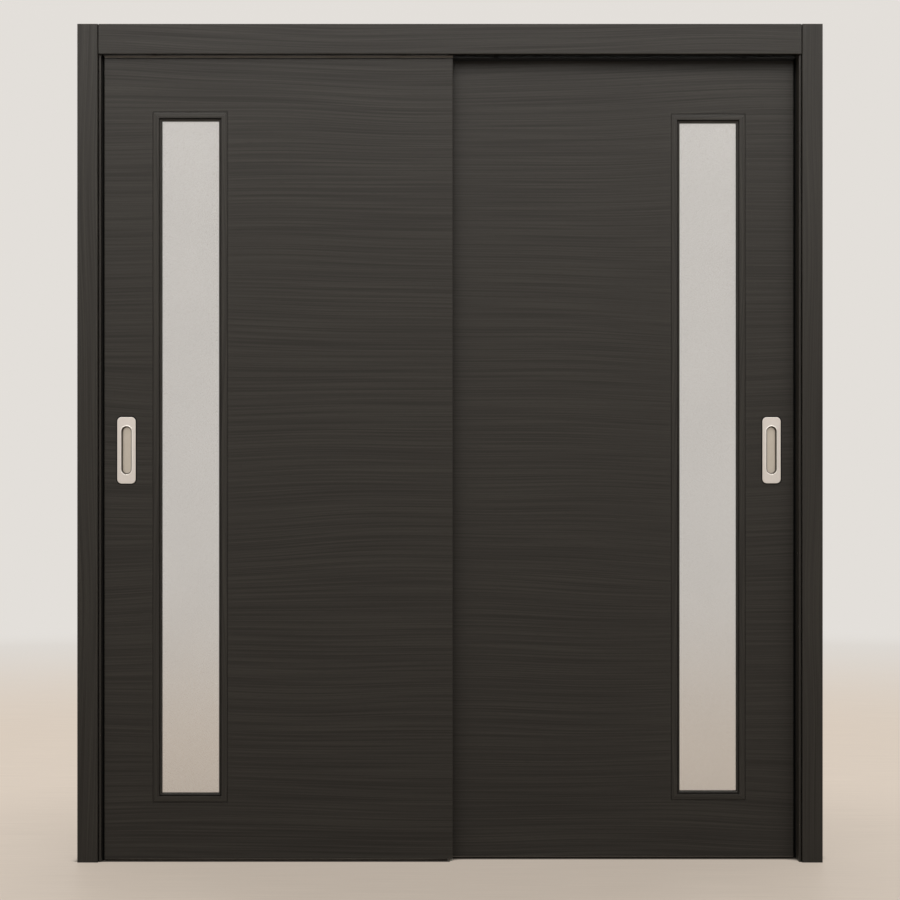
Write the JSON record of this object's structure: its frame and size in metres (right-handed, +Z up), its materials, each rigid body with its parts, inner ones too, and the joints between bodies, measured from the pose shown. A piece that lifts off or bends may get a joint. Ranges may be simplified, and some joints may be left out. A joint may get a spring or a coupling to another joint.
{
  "type": "bypass door",
  "caption": "Bypass door set: dark wood-grain leaves with tall frosted lites and flush pulls hang on rollers and slide past each other in a cased frame.",
  "frame": {"origin": "on the floor, midway across the width and the depth of the frame", "axes": "+X to the right seen from the side where the left leaf is nearer, +Y through the doorway away from that side, +Z up"},
  "size_m": [1.809, 0.116, 2.035],
  "materials": {
    "dark_laminate": "satin",
    "dark_rail": "satin",
    "frosted_glass": "frosted",
    "satin_nickel": "satin",
    "aluminium": "satin",
    "zinc_steel": "plated",
    "nylon": "matte",
    "black_rubber": "matte"
  },
  "bodies": {
    "frame": {"left_jamb": "dark_laminate", "right_jamb": "dark_laminate", "head_board": "dark_laminate", "front_left_casing": "dark_laminate", "front_right_casing": "dark_laminate", "front_head_casing": "dark_laminate", "rear_left_casing": "dark_laminate", "rear_right_casing": "dark_laminate", "rear_head_casing": "dark_laminate", "front_track": "dark_rail", "rear_track": "dark_rail", "front_track_stops": "black_rubber", "rear_track_stops": "black_rubber", "track_screws": "zinc_steel", "corner_screws": "zinc_steel", "left_seal": "black_rubber", "right_seal": "black_rubber", "floor_guide": "nylon"},
    "front_door": {"front_leaf": "dark_laminate", "front_glass": "frosted_glass", "front_outer_bead": "dark_laminate", "front_inner_bead": "dark_laminate", "front_outer_pull": "satin_nickel", "front_inner_pull": "satin_nickel", "front_top_rail": "dark_rail", "front_guide_channel": "aluminium", "front_jamb_carriage": "zinc_steel", "front_middle_carriage": "zinc_steel", "front_hanger_bolts": "zinc_steel", "front_hanger_blocks": "zinc_steel", "front_axles": "zinc_steel"},
    "front_wheels_1": {"front_wheels_1": "nylon"},
    "front_wheels_2": {"front_wheels_2": "nylon"},
    "front_wheels_3": {"front_wheels_3": "nylon"},
    "front_wheels_4": {"front_wheels_4": "nylon"},
    "rear_door": {"rear_leaf": "dark_laminate", "rear_glass": "frosted_glass", "rear_outer_bead": "dark_laminate", "rear_inner_bead": "dark_laminate", "rear_outer_pull": "satin_nickel", "rear_inner_pull": "satin_nickel", "rear_top_rail": "dark_rail", "rear_guide_channel": "aluminium", "rear_jamb_carriage": "zinc_steel", "rear_middle_carriage": "zinc_steel", "rear_hanger_bolts": "zinc_steel", "rear_hanger_blocks": "zinc_steel", "rear_axles": "zinc_steel"},
    "rear_wheels_1": {"rear_wheels_1": "nylon"},
    "rear_wheels_2": {"rear_wheels_2": "nylon"},
    "rear_wheels_3": {"rear_wheels_3": "nylon"},
    "rear_wheels_4": {"rear_wheels_4": "nylon"}
  },
  "joints": [
    {"name": "front_slide", "type": "slide", "parent": "frame", "child": "front_door", "axis": [1, 0, 0], "range_m": [0, 0.8345]},
    {"name": "front_wheels_1_spin", "type": "hinge", "parent": "front_door", "child": "front_wheels_1", "pos_m": [-0.7415, -0.02, 1.9758], "axis": [0, 1, 0], "continuous": true},
    {"name": "front_wheels_2_spin", "type": "hinge", "parent": "front_door", "child": "front_wheels_2", "pos_m": [-0.7015, -0.02, 1.9758], "axis": [0, 1, 0], "continuous": true},
    {"name": "front_wheels_3_spin", "type": "hinge", "parent": "front_door", "child": "front_wheels_3", "pos_m": [-0.133, -0.02, 1.9758], "axis": [0, 1, 0], "continuous": true},
    {"name": "front_wheels_4_spin", "type": "hinge", "parent": "front_door", "child": "front_wheels_4", "pos_m": [-0.093, -0.02, 1.9758], "axis": [0, 1, 0], "continuous": true},
    {"name": "rear_slide", "type": "slide", "parent": "frame", "child": "rear_door", "axis": [-1, 0, 0], "range_m": [0, 0.8345]},
    {"name": "rear_wheels_1_spin", "type": "hinge", "parent": "rear_door", "child": "rear_wheels_1", "pos_m": [0.7415, 0.02, 1.9758], "axis": [0, 1, 0], "continuous": true},
    {"name": "rear_wheels_2_spin", "type": "hinge", "parent": "rear_door", "child": "rear_wheels_2", "pos_m": [0.7015, 0.02, 1.9758], "axis": [0, 1, 0], "continuous": true},
    {"name": "rear_wheels_3_spin", "type": "hinge", "parent": "rear_door", "child": "rear_wheels_3", "pos_m": [0.133, 0.02, 1.9758], "axis": [0, 1, 0], "continuous": true},
    {"name": "rear_wheels_4_spin", "type": "hinge", "parent": "rear_door", "child": "rear_wheels_4", "pos_m": [0.093, 0.02, 1.9758], "axis": [0, 1, 0], "continuous": true}
  ],
  "couplings": [
    {"joint": "front_wheels_1_spin", "follows": "front_slide", "rad_per_m": 111.11},
    {"joint": "front_wheels_2_spin", "follows": "front_slide", "rad_per_m": 111.11},
    {"joint": "front_wheels_3_spin", "follows": "front_slide", "rad_per_m": 111.11},
    {"joint": "front_wheels_4_spin", "follows": "front_slide", "rad_per_m": 111.11},
    {"joint": "rear_wheels_1_spin", "follows": "rear_slide", "rad_per_m": -111.11},
    {"joint": "rear_wheels_2_spin", "follows": "rear_slide", "rad_per_m": -111.11},
    {"joint": "rear_wheels_3_spin", "follows": "rear_slide", "rad_per_m": -111.11},
    {"joint": "rear_wheels_4_spin", "follows": "rear_slide", "rad_per_m": -111.11}
  ]
}
